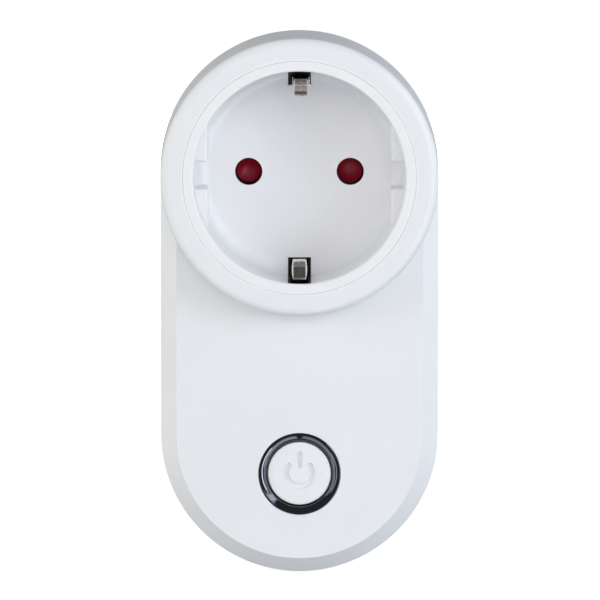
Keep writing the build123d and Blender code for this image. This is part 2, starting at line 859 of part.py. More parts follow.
def tact_switch():
    place = (0, -button_distance)
    body = centred_block(place, switch_size, switch_size, board_front_height, switch_top)
    well_low = switch_top - plunger_sink - button_travel - button_rest_gap
    radius = plunger_diameter / 2 + pivot_clearance
    body = body - disc(radius, well_low, switch_top + 1, place)
    for side in (-1, 1):
        lead = (side * switch_size / 2, -button_distance)
        body = body + centred_block(
            lead, 2 * switch_height / 3, led_length, board_front_height, board_front_height + 0.3
        )
    return body - disc(radius, well_low, switch_top + 1, place)


def status_leds():
    high = board_front_height + led_height
    lamps = []
    for side in (-1, 1):
        place = (side * ring_leg_place, -button_distance)
        lamps.append(centred_block(place, led_length, led_width, board_front_height, high))
    return lamps


def main_board():
    radius = outline_radius - wall - board_margin
    clear = tower_depth + board_cup_clearance
    outline = capsule_sketch(radius) - Circle(clear)
    above = arc_distance / 2 - board_top_distance
    outline = outline - Pos(0, above) * Rectangle(4 * radius, arc_distance)
    room = boss_diameter / 2 + board_boss_clearance
    notch = Circle(room) + Pos(room, 0) * Rectangle(2 * room, 2 * room)
    mid_notch = Pos(*mid_bosses[1]) * notch
    low_notch = Pos(*low_bosses[1]) * Rot(0, 0, -low_boss_angle) * notch
    for right in (mid_notch, low_notch):
        outline = outline - right - mirror(right, about=Plane.YZ)
    for place in board_posts:
        outline = outline - Pos(*place) * Circle(board_screw_diameter / 2 + screw_pass_gap)
    return extruded(outline, board_back, board_front_height)


def on_back(height):
    return board_back - height


def relay():
    place = (0, -relay_distance)
    case = centred_block(place, relay_length, relay_width, on_back(relay_height), board_back)
    return chamfer(case.faces().sort_by(Axis.Y)[-1].edges(), part_break)


def metering_chip():
    body = centred_block(chip_place, chip_length, chip_width, on_back(chip_height), board_back)
    for number in range(8):
        shift = (number - 3.5) * chip_lead_pitch
        place = (chip_place[0] + shift, chip_place[1])
        width = chip_width + 2 * chip_lead_reach
        body = body + centred_block(place, chip_lead_pitch / 3, width, on_back(0.3), board_back)
    return body


def shunt():
    """Bridge of resistance metal standing on its two feet."""
    low = on_back(shunt_height)
    bridge = centred_block(shunt_place, shunt_width, shunt_length, low, board_back)
    room = shunt_length - 2 * shunt_height
    return bridge - centred_block(shunt_place, shunt_width + 1, room, low + shunt_arch, board_back + 1)


def capacitors():
    """Upright cans in a row below the relay."""
    cans = []
    for row, shift in enumerate(can_shifts):
        drop = can_gap + can_diameter / 2 + row * (can_gap + can_diameter)
        place = (shift, -relay_bottom - drop)
        can = disc(can_diameter / 2, on_back(can_height), board_back, place)
        end = can.edges().filter_by(GeomType.CIRCLE).sort_by(Axis.Y)[-1]
        cans.append(chamfer(end, part_break))
    return cans


def inductor():
    place = below_arc(inductor_place)
    low = on_back(inductor_height)
    core = disc(inductor_core / 2, low, board_back, place)
    for start in (low, board_back - inductor_flange):
        core = core + disc(inductor_diameter / 2, start, start + inductor_flange, place)
    return core


def rectifier():
    place = below_arc(rectifier_place)
    low = on_back(rectifier_height)
    return centred_block(place, rectifier_width, rectifier_length, low, board_back)


def fuse_resistor():
    """Axial resistor lying on the board, with its two wires turned down to it."""
    x, z = below_arc(resistor_place)
    middle = on_back(resistor_diameter / 2)
    wire_radius = resistor_wire_diameter / 2
    reach = resistor_length / 2 + resistor_wire_reach
    body = Cylinder(resistor_diameter / 2, resistor_length, rotation=(0, 90, 0))
    wire = Cylinder(wire_radius, 2 * (reach + wire_radius), rotation=(0, 90, 0))
    resistor = Pos(x, -middle, z) * (body + wire)
    for side in (-1, 1):
        place = (x + side * reach, z)
        resistor = resistor + disc(wire_radius, middle - wire_radius, board_back, place)
    return resistor


def varistor():
    low = on_back(varistor_height)
    body = disc(varistor_diameter / 2, low, board_back, below_arc(varistor_place))
    return chamfer(body.edges().filter_by(GeomType.CIRCLE).sort_by(Axis.Y)[-1], part_break)


def radio_module():
    place = (0, -radio_distance)
    high = board_front_height + radio_height
    return centred_block(place, radio_width, radio_length, board_front_height, high)


def radio_shield():
    place = (0, shield_offset - radio_distance)
    low = board_front_height + radio_height
    return centred_block(place, shield_width, shield_length, low, low + shield_height)


def screw(place, diameter, length, head, head_height, head_low):
    """Cross-slotted pan head screw driven from behind."""
    shank_low = head_low + head_height
    body = disc(head / 2, head_low, shank_low, place)
    for width, depth in ((head * 0.6, screw_slot_width), (screw_slot_width, head * 0.6)):
        body = body - centred_block(place, width, depth, head_low - 1, head_low + screw_slot_depth)
    return body + disc(diameter / 2, shank_low, shank_low + length, place)


def case_screws():
    return [
        screw(place, screw_diameter, screw_length, screw_head_diameter, screw_head_height, screw_sink)
        for place in case_bosses
    ]


def board_screws():
    low = board_back - board_screw_head_height
    return [
        screw(
            place, board_screw_diameter, board_screw_length, board_screw_head,
            board_screw_head_height, low
        )
        for place in board_posts
    ]


def carrier_screws():
    low = carrier_screw_low - board_screw_head_height
    return [
        screw(
            place, board_screw_diameter, carrier_screw_length, board_screw_head,
            board_screw_head_height, low
        )
        for place in carrier_posts
    ]


def plug_earth_strips():
    strip = plug_strip_solid(0, flange_high)
    return [strip, strip.rotate(Axis.Y, 180)]


def nodes():
    upper_leaf = earth_leaf()
    return {
        "front_housing": front_housing(),
        "rear_housing": rear_housing(),
        "plug_base": plug_base(),
        "socket_insert": socket_insert(),
        "contact_carrier": contact_carrier(),
        "live_contact": contact_sleeve(-1),
        "neutral_contact": contact_sleeve(1),
        "earth_strap": earth_strap(),
        "earth_contact_upper": upper_leaf,
        "earth_contact_lower": upper_leaf.rotate(Axis.Y, 180),
        "shutter": shutter(),
        "shutter_spring": shutter_spring(),
        "live_pin": plug_pin(-1),
        "neutral_pin": plug_pin(1),
        "plug_earth_strips": plug_earth_strips(),
        "live_in_strap": live_in_strap(),
        "live_out_strap": live_out_strap(),
        "neutral_strap": neutral_strap(),
        "light_ring": light_ring(),
        "power_button": power_button(),
        "switch_plunger": switch_plunger(),
        "tact_switch": tact_switch(),
        "status_leds": status_leds(),
        "main_board": main_board(),
        "relay": relay(),
        "metering_chip": metering_chip(),
        "shunt": shunt(),
        "capacitors": capacitors(),
        "inductor": inductor(),
        "rectifier": rectifier(),
        "fuse_resistor": fuse_resistor(),
        "varistor": varistor(),
        "radio_module": radio_module(),
        "radio_shield": radio_shield(),
        "case_screws": case_screws(),
        "board_screws": board_screws(),
        "carrier_screws": carrier_screws(),
    }


def write_parts():
    os.makedirs("parts", exist_ok=True)
    for name, shape in nodes().items():
        if isinstance(shape, list):
            shape = Compound(children=[solid for piece in shape for solid in piece.solids()])
        export_step(shape, f"parts/{name}.step")
        print(name, "written")


write_parts()
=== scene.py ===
# Plug-through power meter: finishes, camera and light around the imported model
import bpy
import bmesh
import math
from mathutils import Matrix, Vector


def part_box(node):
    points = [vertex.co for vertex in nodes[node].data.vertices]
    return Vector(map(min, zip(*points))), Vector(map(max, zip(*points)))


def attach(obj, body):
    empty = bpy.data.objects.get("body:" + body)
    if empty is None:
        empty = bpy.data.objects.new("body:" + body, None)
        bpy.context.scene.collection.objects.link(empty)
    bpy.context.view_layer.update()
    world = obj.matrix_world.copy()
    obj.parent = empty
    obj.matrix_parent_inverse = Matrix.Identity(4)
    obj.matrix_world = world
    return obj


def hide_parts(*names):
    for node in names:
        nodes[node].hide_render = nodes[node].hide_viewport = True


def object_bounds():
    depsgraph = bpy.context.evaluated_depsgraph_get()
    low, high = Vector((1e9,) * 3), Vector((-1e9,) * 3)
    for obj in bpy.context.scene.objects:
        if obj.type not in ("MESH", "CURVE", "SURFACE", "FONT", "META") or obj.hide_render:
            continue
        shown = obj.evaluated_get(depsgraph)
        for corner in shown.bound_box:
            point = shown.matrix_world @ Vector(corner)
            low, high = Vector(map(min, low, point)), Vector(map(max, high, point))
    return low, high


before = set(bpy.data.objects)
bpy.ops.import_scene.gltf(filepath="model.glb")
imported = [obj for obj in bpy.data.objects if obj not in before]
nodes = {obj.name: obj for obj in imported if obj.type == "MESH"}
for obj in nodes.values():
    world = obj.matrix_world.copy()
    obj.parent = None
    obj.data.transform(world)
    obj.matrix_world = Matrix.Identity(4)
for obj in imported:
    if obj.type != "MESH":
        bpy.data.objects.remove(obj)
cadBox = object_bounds()
mm = 0.001
farOff = 1.0  # metres, past every piece: the open end of a band
weldDistance = 0.001 * mm
creaseAngle = 40.0  # degrees, from which an edge is shaded sharp


def linearColour(hexValue, alpha=1.0):
    # sRGB hex to the linear values that a shader takes
    channels = [int(hexValue[i:i + 2], 16) / 255 for i in (0, 2, 4)]
    linear = [c / 12.92 if c <= 0.04045 else ((c + 0.055) / 1.055) ** 2.4 for c in channels]
    return linear + [alpha]


def addNode(tree, kind, settings=None, **inputs):
    # an input is a value, or a socket to link from; i6 is the input with index 6
    node = tree.nodes.new(kind)
    for key, value in (settings or {}).items():
        setattr(node, key, value)
    for key, value in inputs.items():
        numbered = key[0] == "i" and key[1:].isdigit()
        socket = node.inputs[int(key[1:]) if numbered else key.replace("_", " ")]
        if isinstance(value, bpy.types.NodeSocket):
            tree.links.new(value, socket)
        else:
            socket.default_value = value
    return node


def newMaterial(name):
    material = bpy.data.materials.new(name)
    material.use_nodes = True
    tree = material.node_tree
    tree.nodes.clear()
    shader = addNode(tree, "ShaderNodeBsdfPrincipled")
    addNode(tree, "ShaderNodeOutputMaterial", Surface=shader.outputs["BSDF"])
    return material, tree, shader


def pattern(tree, size, detail=2.0, stretch=(1, 1, 1)):
    # noise fixed to the object, with blobs about size millimetres across
    place = addNode(tree, "ShaderNodeTexCoord").outputs["Object"]
    place = addNode(tree, "ShaderNodeMapping", Vector=place, Scale=stretch).outputs[0]
    texture = addNode(tree, "ShaderNodeTexNoise", Vector=place, Scale=1 / (size * mm),
                      Detail=detail)
    return texture.outputs["Fac"]


def band(tree, value, low, high, soft):
    # 1 between low and high, 0 outside, with soft edges; all in metres
    smooth = {"interpolation_type": "SMOOTHSTEP"}
    rise = addNode(tree, "ShaderNodeMapRange", smooth, Value=value,
                   From_Min=low - soft, From_Max=low + soft)
    fall = addNode(tree, "ShaderNodeMapRange", smooth, Value=value,
                   From_Min=high - soft, From_Max=high + soft, To_Min=1.0, To_Max=0.0)
    inside = addNode(tree, "ShaderNodeMath", {"operation": "MULTIPLY"},
                     i0=rise.outputs[0], i1=fall.outputs[0])
    return inside.outputs[0]


def blended(tree, shader, name, factor, value):
    # puts a value or colour over what a socket has, by factor
    socket = shader.inputs[name]
    colour = socket.type == "RGBA"
    under = socket.links[0].from_socket
    mix = addNode(tree, "ShaderNodeMix", {"data_type": "RGBA" if colour else "FLOAT"}, i0=factor)
    first, second, result = (6, 7, 2) if colour else (2, 3, 0)
    tree.links.new(under, mix.inputs[first])
    mix.inputs[second].default_value = linearColour(value) if colour else value
    tree.links.new(mix.outputs[result], socket)


def placed(tree):
    # x, y and z of the object, in metres
    place = addNode(tree, "ShaderNodeTexCoord").outputs["Object"]
    return addNode(tree, "ShaderNodeSeparateXYZ", Vector=place).outputs


def fromAxis(tree, axes, x, z=0.0, paired=False):
    # distance from an axis along Y, or from the nearer of it and its twin at -x
    side = axes["X"]
    if paired:
        side = addNode(tree, "ShaderNodeMath", {"operation": "ABSOLUTE"}, i0=side).outputs[0]
    flat = addNode(tree, "ShaderNodeCombineXYZ", X=side, Z=axes["Z"]).outputs[0]
    out = addNode(tree, "ShaderNodeVectorMath", {"operation": "DISTANCE"}, i0=flat, i1=(x, 0, z))
    return out.outputs["Value"]


def finished(tree, shader, options, tintBy, glossBy, reliefBy, strength):
    # tint, gloss and relief of a surface, each from its pattern; depth is in millimetres
    tint = addNode(tree, "ShaderNodeMix", {"data_type": "RGBA"}, i0=tintBy,
                   i6=linearColour(options["colour"]), i7=linearColour(options["shade"]))
    rough, spread = options["roughness"], options["spread"]
    gloss = addNode(tree, "ShaderNodeMapRange", Value=glossBy,
                    To_Min=rough - spread, To_Max=rough + spread)
    relief = addNode(tree, "ShaderNodeBump", Strength=strength, Distance=options["depth"] * mm,
                     Height=reliefBy)
    tree.links.new(tint.outputs[2], shader.inputs["Base Color"])
    tree.links.new(gloss.outputs[0], shader.inputs["Roughness"])
    tree.links.new(relief.outputs["Normal"], shader.inputs["Normal"])


# how strongly the relief shows, and how much finer than its tint the gloss of plastic varies
surface = {"plasticRelief": 0.3, "metalRelief": 0.4, "glossFiner": 3}


def moulded(name, options):
    # moulded plastic: spark-eroded grain, faint flow in the tint and in the gloss
    material, tree, shader = newMaterial(name)
    flow = pattern(tree, options["cloud"])
    patches = pattern(tree, options["cloud"] / surface["glossFiner"], detail=3.0)
    grain = pattern(tree, options["grain"], detail=3.0)
    finished(tree, shader, options, flow, patches, grain, surface["plasticRelief"])
    shader.inputs["IOR"].default_value = options["index"]
    if "glossTint" in options:
        shader.inputs["Specular Tint"].default_value = linearColour(options["glossTint"])
    return material


def rolled(name, options):
    # bare or plated metal with fine lines along one axis and a faint stain
    material, tree, shader = newMaterial(name)
    stain = pattern(tree, options["cloud"], detail=3.0)
    lines = pattern(tree, options["lines"], detail=4.0, stretch=options["stretch"])
    finished(tree, shader, options, stain, lines, lines, surface["metalRelief"])
    shader.inputs["Metallic"].default_value = 1.0
    return material


# zones of one material, in millimetres
# painted shade: the walls of the pin holes are painted nearly black from just under the recess
# floor, for the shade deep in the holes
holeShade = {"colour": "060607", "reach": 2.8, "soft": 0.01, "start": 0.10, "startSoft": 0.02,
              "recessDepth": 17.5}
# painted light: a purer white at the lips of the seam between collar and insert, standing in for
# light that thin resin lets through, to lighten the seam's shade
seamPaintedLight = {"colour": "f9fafb", "radius": 21.55, "reach": 0.25, "soft": 0.05, "depth": 3.0}
# the shutter's dishes are red; the web round them lies in the holes' shade, drawn nearly black
dishRim = {"colour": "080102", "radius": 2.22, "soft": 0.12}


def pinShift():
    # how far the pins stand from the middle, in metres
    low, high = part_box("live_pin")
    return abs(low.x + high.x) / 2


def paintSeamLight(tree, shader, axes):
    # painted light: the purer white on both sides of the seam, near the front only
    low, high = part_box("socket_insert")
    middle = (low + high) / 2
    out = fromAxis(tree, axes, middle.x, middle.z)
    radius, reach, soft = seamPaintedLight["radius"] * mm, seamPaintedLight["reach"] * mm, seamPaintedLight["soft"] * mm
    lip = band(tree, out, radius - reach, radius + reach, soft)
    front = band(tree, axes["Y"], -farOff, low.y + seamPaintedLight["depth"] * mm, soft)
    zone = addNode(tree, "ShaderNodeMath", {"operation": "MULTIPLY"}, i0=lip, i1=front).outputs[0]
    blended(tree, shader, "Base Color", zone, seamPaintedLight["colour"])


def seamLitShell(name, options):
    material = moulded(name, options)
    tree, shader = material.node_tree, material.node_tree.nodes["Principled BSDF"]
    paintSeamLight(tree, shader, placed(tree))
    return material


def holeShadedInsert(name, options):
    material = moulded(name, options)
    tree, shader = material.node_tree, material.node_tree.nodes["Principled BSDF"]
    axes = placed(tree)
    paintSeamLight(tree, shader, axes)
    size = {key: value * mm for key, value in holeShade.items() if key != "colour"}
    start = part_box("socket_insert")[0].y + size["recessDepth"] + size["start"]
    out = fromAxis(tree, axes, pinShift(), paired=True)
    near = band(tree, out, -farOff, size["reach"], size["soft"])
    deep = band(tree, axes["Y"], start, farOff, size["startSoft"])
    zone = addNode(tree, "ShaderNodeMath", {"operation": "MULTIPLY"}, i0=near, i1=deep).outputs[0]
    # painted shade on the walls of the pin holes
    blended(tree, shader, "Base Color", zone, holeShade["colour"])
    return material


def dishedRed(name, options):
    material = moulded(name, options)
    tree, shader = material.node_tree, material.node_tree.nodes["Principled BSDF"]
    out = fromAxis(tree, placed(tree), pinShift(), paired=True)
    rim = band(tree, out, dishRim["radius"] * mm, farOff, dishRim["soft"] * mm)
    blended(tree, shader, "Base Color", rim, dishRim["colour"])
    return material


def dress(material, *names):
    # gives CAD nodes a material in place of their own
    for name in names:
        slots = nodes[name].data.materials
        slots.clear()
        slots.append(material)


# Plastics. The real grain of a spark-eroded mould is some 0.03 mm, too fine to show,
# so it is drawn 0.1 to 0.3 mm wide. Cloud is the size of the faint flow in the tint.
# injection moulded ABS, fine satin: a soft cool white with broad dull lights
whiteShell = {"colour": "eff1f3", "shade": "ebedf0", "cloud": 14.0, "roughness": 0.42,
              "spread": 0.03, "grain": 0.12, "depth": 0.006, "index": 1.53}
# polycarbonate of the socket insert, harder and a little glossier: clean white, tighter lights
whiteInsert = {"colour": "f4f5f7", "shade": "f0f1f4", "cloud": 11.0, "roughness": 0.36,
               "spread": 0.03, "grain": 0.12, "depth": 0.005, "index": 1.55}
# glass-filled black nylon that carries the contacts: dull, so the earth slots read as black
blackCarrier = {"colour": "0a0a0b", "shade": "101011", "cloud": 4.0, "roughness": 0.60,
                "spread": 0.08, "grain": 0.10, "depth": 0.010, "index": 1.50}
# moulded red acetal of the shutter: a deep red that takes a soft light in its dishes
redShutter = {"colour": "a81131", "shade": "980d2a", "cloud": 6.0, "roughness": 0.42,
              "spread": 0.05, "grain": 0.30, "depth": 0.004, "index": 1.48}

dress(seamLitShell("satin_white_abs", whiteShell), "front_housing", "rear_housing", "plug_base")
dress(holeShadedInsert("satin_white_insert", whiteInsert), "socket_insert")
dress(moulded("black_filled_moulding", blackCarrier), "contact_carrier", "switch_plunger")
dress(dishedRed("gloss_red_acetal", redShutter), "shutter")
print("plastics dressed")

# Metals. Rolling and turning lines are a few hundredths of a millimetre apart and are
# drawn 0.05 to 0.2 mm wide; stretch lays them along the way that each piece was worked.
# rolled nickel silver of the earth leaves and strips: a warm pale grey with bright edges
nickelLeaf = {"colour": "dfdad0", "shade": "ccc6ba", "cloud": 1.2, "roughness": 0.17,
              "spread": 0.05, "lines": 0.05, "stretch": (1.0, 0.08, 0.08), "depth": 0.002}
# turned brass pins, nickel plated: warm silver, with fine rings round the shaft
nickelPin = {"colour": "cdc9c0", "shade": "bdb8ad", "cloud": 5.0, "roughness": 0.20,
             "spread": 0.05, "lines": 0.06, "stretch": (0.05, 1.0, 0.05), "depth": 0.003}
# stamped brass straps: plain yellow, a little dull
stampedBrass = {"colour": "d8b25c", "shade": "c49a48", "cloud": 3.0, "roughness": 0.30,
                "spread": 0.08, "lines": 0.08, "stretch": (1.0, 1.0, 0.08), "depth": 0.004}
# spring brass of the contact sleeves: browner and smoother
springBrass = {"colour": "cfa452", "shade": "b98c40", "cloud": 2.0, "roughness": 0.26,
               "spread": 0.06, "lines": 0.06, "stretch": (1.0, 0.08, 1.0), "depth": 0.003}
# zinc plated screws: blue-grey and cloudy
zincScrew = {"colour": "b4b8bc", "shade": "9ca1a8", "cloud": 1.2, "roughness": 0.34,
             "spread": 0.08, "lines": 0.10, "stretch": (1.0, 1.0, 1.0), "depth": 0.005}
# drawn spring wire: mid grey, lines along the wire
springSteel = {"colour": "a7a9ab", "shade": "8f9194", "cloud": 1.0, "roughness": 0.28,
               "spread": 0.06, "lines": 0.05, "stretch": (0.2, 1.0, 0.2), "depth": 0.003}
# tinned steel sheet: pale and slightly mottled
tinnedSheet = {"colour": "cfcfca", "shade": "bcbcb6", "cloud": 2.5, "roughness": 0.32,
               "spread": 0.08, "lines": 0.20, "stretch": (1.0, 1.0, 0.3), "depth": 0.004}
# manganin strip of the shunt: coppery brown
manganin = {"colour": "b07a58", "shade": "9a6647", "cloud": 2.0, "roughness": 0.36,
            "spread": 0.08, "lines": 0.08, "stretch": (1.0, 1.0, 0.08), "depth": 0.004}

nickelStrip = rolled("nickel_silver_strip", nickelLeaf)
dress(nickelStrip, "earth_contact_upper", "earth_contact_lower", "plug_earth_strips")
dress(rolled("nickel_plated_pin", nickelPin), "live_pin", "neutral_pin")
dress(rolled("stamped_brass", stampedBrass),
      "earth_strap", "live_in_strap", "live_out_strap", "neutral_strap")
dress(rolled("spring_brass", springBrass), "live_contact", "neutral_contact")
dress(rolled("zinc_plated_steel", zincScrew), "case_screws", "board_screws", "carrier_screws")
dress(rolled("spring_steel_wire", springSteel), "shutter_spring")
dress(rolled("tinned_steel_sheet", tinnedSheet), "radio_shield", "tact_switch")
dress(rolled("manganin_strip", manganin), "shunt")
print("metals dressed")

# parts on the board, in moulded or coated finishes that share their flow and grain
boardFinish = {"cloud": 3.0, "spread": 0.05, "grain": 0.15, "depth": 0.006, "index": 1.52}
boardParts = {
    "relay": {  # moulded nylon case: strong blue, half dull
        "name": "blue_relay_case", "colour": "1c3f8c", "shade": "17367c", "roughness": 0.38},
    "metering_chip": {  # transfer moulded epoxy: flat grey-black
        "name": "black_epoxy_body", "colour": "1b1b1c", "shade": "242425", "roughness": 0.55},
    "rectifier": {  # cast epoxy: black, a little smoother
        "name": "black_epoxy_block", "colour": "1a1a1b", "shade": "222223", "roughness": 0.50},
    "capacitors": {  # heat-shrunk film sleeve: blue-black and shiny
        "name": "shrunk_sleeve", "colour": "15171d", "shade": "1c1f27", "roughness": 0.24},
    "inductor": {  # sintered ferrite: dull dark grey
        "name": "sintered_ferrite", "colour": "38393b", "shade": "2c2d2f", "roughness": 0.62},
    "fuse_resistor": {  # cement coat: chalky grey-green
        "name": "cement_coat", "colour": "8fa98f", "shade": "7f9a80", "roughness": 0.58},
    "varistor": {  # dipped epoxy: blue with a wet shine
        "name": "blue_epoxy_dip", "colour": "2a59a5", "shade": "234e95", "roughness": 0.30},
    "status_leds": {  # cast lamp resin: pale straw and glossy
        "name": "clear_lamp_resin", "colour": "e8e6c4", "shade": "dedcb4", "roughness": 0.15},
    "main_board": {  # solder mask on laminate: mid green, even shine
        "name": "green_solder_mask", "colour": "1d6b3c", "shade": "175c32", "roughness": 0.34},
    "radio_module": {  # solder mask in a bluer green
        "name": "green_module_mask", "colour": "1a5f58", "shade": "15524c", "roughness": 0.34},
}
for name, part in boardParts.items():
    dress(moulded(part["name"], boardFinish | part), name)
print("board parts dressed")


def finishMesh(name, bm, material):
    # makes an object of a bmesh: normals outwards, smooth but for its creases
    bmesh.ops.recalc_face_normals(bm, faces=bm.faces)
    for face in bm.faces:
        face.smooth = True
    for edge in bm.edges:
        if edge.is_manifold and edge.calc_face_angle(0) > math.radians(creaseAngle):
            edge.smooth = False
    mesh = bpy.data.meshes.new(name)
    bm.to_mesh(mesh)
    bm.free()
    mesh.materials.append(material)
    obj = bpy.data.objects.new(name, mesh)
    bpy.context.scene.collection.objects.link(obj)
    return obj


def spunBody(bm, profile, centre, steps):
    # turns (radius, depth) points about an axis along Y through the centre
    verts = [bm.verts.new((centre.x + radius, depth, centre.z)) for radius, depth in profile]
    edges = [bm.edges.new(pair) for pair in zip(verts, verts[1:])]
    bmesh.ops.spin(bm, geom=verts + edges, cent=(centre.x, 0, centre.z), axis=(0, 1, 0),
                   angle=math.tau, steps=steps, use_merge=True)
    bmesh.ops.remove_doubles(bm, verts=bm.verts, dist=weldDistance)


def rounded(radius, middle, start, end, parts=5):
    # points of an arc about its middle, from one direction in degrees to another
    turns = [math.radians(start + (end - start) * i / parts) for i in range(parts + 1)]
    return [(middle[0] + radius * math.cos(t), middle[1] + radius * math.sin(t)) for t in turns]


# the cap: soft top edge, hollow skirt, retaining lip and stem, in millimetres; its top is
# divided finely as far out as fineEnd, where the sunk power symbol needs it
buttonCap = {"radius": 5.9, "edge": 0.30, "wall": 1.4, "ceiling": 1.4, "lipStart": 3.1,
             "lipEnd": 4.1, "stem": 1.8, "finePitch": 0.06, "fineEnd": 4.3, "steps": 240}
# power symbol: radius and half widths of its strokes, softness of their walls, depth, half
# the arc's gap in degrees, and where the bar ends
powerSymbol = {"arc": 2.44, "halfArc": 0.43, "halfBar": 0.42, "soft": 0.26, "sunk": 0.68,
               "gap": 54, "barLow": 1.45, "barHigh": 3.60}


def symbolDepth(x, z):
    # how deep the symbol is at a point of the cap, in millimetres: a groove with soft walls
    gap = math.radians(powerSymbol["gap"])
    arc = powerSymbol["arc"]
    if abs(math.atan2(x, z)) > gap:
        toArc = abs(math.hypot(x, z) - arc)
    else:
        toArc = math.hypot(abs(x) - arc * math.sin(gap), z - arc * math.cos(gap))
    nearest = min(max(z, powerSymbol["barLow"]), powerSymbol["barHigh"])
    toBar = math.hypot(x, z - nearest)
    inside = max(powerSymbol["halfArc"] - toArc, powerSymbol["halfBar"] - toBar)
    share = min(1.0, max(0.0, inside / powerSymbol["soft"] + 0.5))
    return powerSymbol["sunk"] * share * share * (3 - 2 * share)


# moulded ABS as the shell's, in a slightly brighter white that sets the cap off
whiteCap = whiteShell | {"colour": "f3f5f7", "shade": "eef0f3"}


def addButton():
    low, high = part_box("power_button")
    centre = (low + high) / 2
    top = low.y
    reach = (high.x - low.x) / 2
    size = {key: value * mm for key, value in buttonCap.items()}
    fine = int(buttonCap["fineEnd"] / buttonCap["finePitch"])
    profile = [(i * size["finePitch"], top) for i in range(fine + 1)]
    edge = size["edge"]
    profile += rounded(edge, (size["radius"] - edge, top + edge), -90, 0)
    inner, ceiling = size["radius"] - size["wall"], top + size["ceiling"]
    lipStart, lipEnd = top + size["lipStart"], top + size["lipEnd"]
    profile += [(size["radius"], lipStart), (reach, lipStart), (reach, lipEnd), (inner, lipEnd),
                (inner, ceiling), (size["stem"], ceiling), (size["stem"], high.y), (0, high.y)]
    bm = bmesh.new()
    spunBody(bm, profile, centre, buttonCap["steps"])
    for vert in bm.verts:
        if vert.co.y < top + weldDistance:
            x, z = (vert.co.x - centre.x) / mm, (vert.co.z - centre.z) / mm
            vert.co.y += symbolDepth(x, z) * mm
    cap = finishMesh("button_cap", bm, moulded("satin_white_button", whiteCap))
    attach(cap, "button")
    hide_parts("power_button")


# light guide, in millimetres: a rounded lip that turns down into the gap round the button,
# a flange behind the shell, and two legs that start a little inside the flange
guideRing = {"bore": 6.15, "lip": 1.35, "lipDepth": 0.80, "lipParts": 20, "outer": 7.65,
             "rim": 0.12, "flange": 9.0, "flangeTop": 2.2, "flangeEnd": 3.7, "legPlace": 7.8,
             "legDepth": 1.5, "legWidth": 3.0, "legSunk": 0.3, "steps": 200}
# polished smoked acrylic: nearly black, with sharp cold streaks; its grain is only a faint
# ripple, and the index is raised until the streaks are as bright as on a polished lip
smokedGuide = {"colour": "0b0b0e", "shade": "0e0f12", "cloud": 5.0, "roughness": 0.05,
               "spread": 0.015, "grain": 0.60, "depth": 0.001, "index": 2.00,
               "glossTint": "eff0ff"}


def addLightRing():
    low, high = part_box("light_ring")
    centre = (low + high) / 2
    face = low.y
    size = {key: value * mm for key, value in guideRing.items()}
    bore, outer, rim, lip = size["bore"], size["outer"], size["rim"], size["lip"]
    flangeTop, flangeEnd = face + size["flangeTop"], face + size["flangeEnd"]
    flatter = guideRing["lipDepth"] / guideRing["lip"]
    turn = rounded(lip, (bore + lip, lip), 180, 270, guideRing["lipParts"])
    profile = [(bore, flangeEnd)]
    profile += [(r, face + depth * flatter) for r, depth in turn]
    profile += rounded(rim, (outer - rim, face + rim), 285, 360)
    profile += [(outer, flangeTop), (size["flange"], flangeTop), (size["flange"], flangeEnd),
                (bore, flangeEnd)]
    bm = bmesh.new()
    spunBody(bm, profile, centre, guideRing["steps"])
    for side in (-1, 1):
        start = flangeEnd - size["legSunk"]
        scale = (size["legDepth"], high.y - start, size["legWidth"])
        middle = (centre.x + side * size["legPlace"], (start + high.y) / 2, centre.z)
        bmesh.ops.create_cube(bm, size=1.0, matrix=Matrix.LocRotScale(middle, None, scale))
    ring = finishMesh("light_guide_ring", bm, moulded("smoked_light_guide", smokedGuide))
    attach(ring, "housing")
    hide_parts("light_ring")


# sprung leaf, in millimetres: foot, long run to the apex, then a crowned lead-in plate
# rows: distance behind the front end, rise from the apex line, half width, crown
earthLeaf = {
    "thickness": 0.36, "smoothing": 3, "length": 20.0,
    "columns": (-1.0, -0.86, -0.45, 0.0, 0.45, 0.86, 1.0),
    "crownShare": (0.0, 0.45, 0.9, 1.0, 0.9, 0.45, 0.0),
    "rows": ((20.0, 2.60, 1.36, 0.00), (18.0, 2.60, 1.36, 0.00), (16.1, 2.60, 1.36, 0.00),
             (15.1, 2.45, 1.36, 0.00), (10.0, 1.45, 1.33, 0.00), (5.20, 0.50, 1.24, 0.00),
             (4.20, 0.25, 1.24, 0.00), (3.75, 0.20, 1.26, 0.05), (3.35, 0.38, 1.30, 0.08),
             (2.95, 0.80, 1.36, 0.09), (2.40, 1.42, 1.41, 0.09), (2.15, 1.70, 1.42, 0.04),
             (1.40, 2.45, 1.40, 0.03), (0.80, 3.05, 1.30, 0.08), (0.35, 3.50, 1.16, 0.05))}
# painted reflections and shade: each lead-in plate is painted in bands of light and dark, between
# rims painted as bright highlights; the specks and the satin gloss are the metal's own
leafPaintedLight = {"rim": 1.12, "soft": 0.10, "bright": "ece8df", "satin": 0.50, "reach": 4.0,
           "plate": 3.5, "speck": 0.45, "speckShare": 0.8}
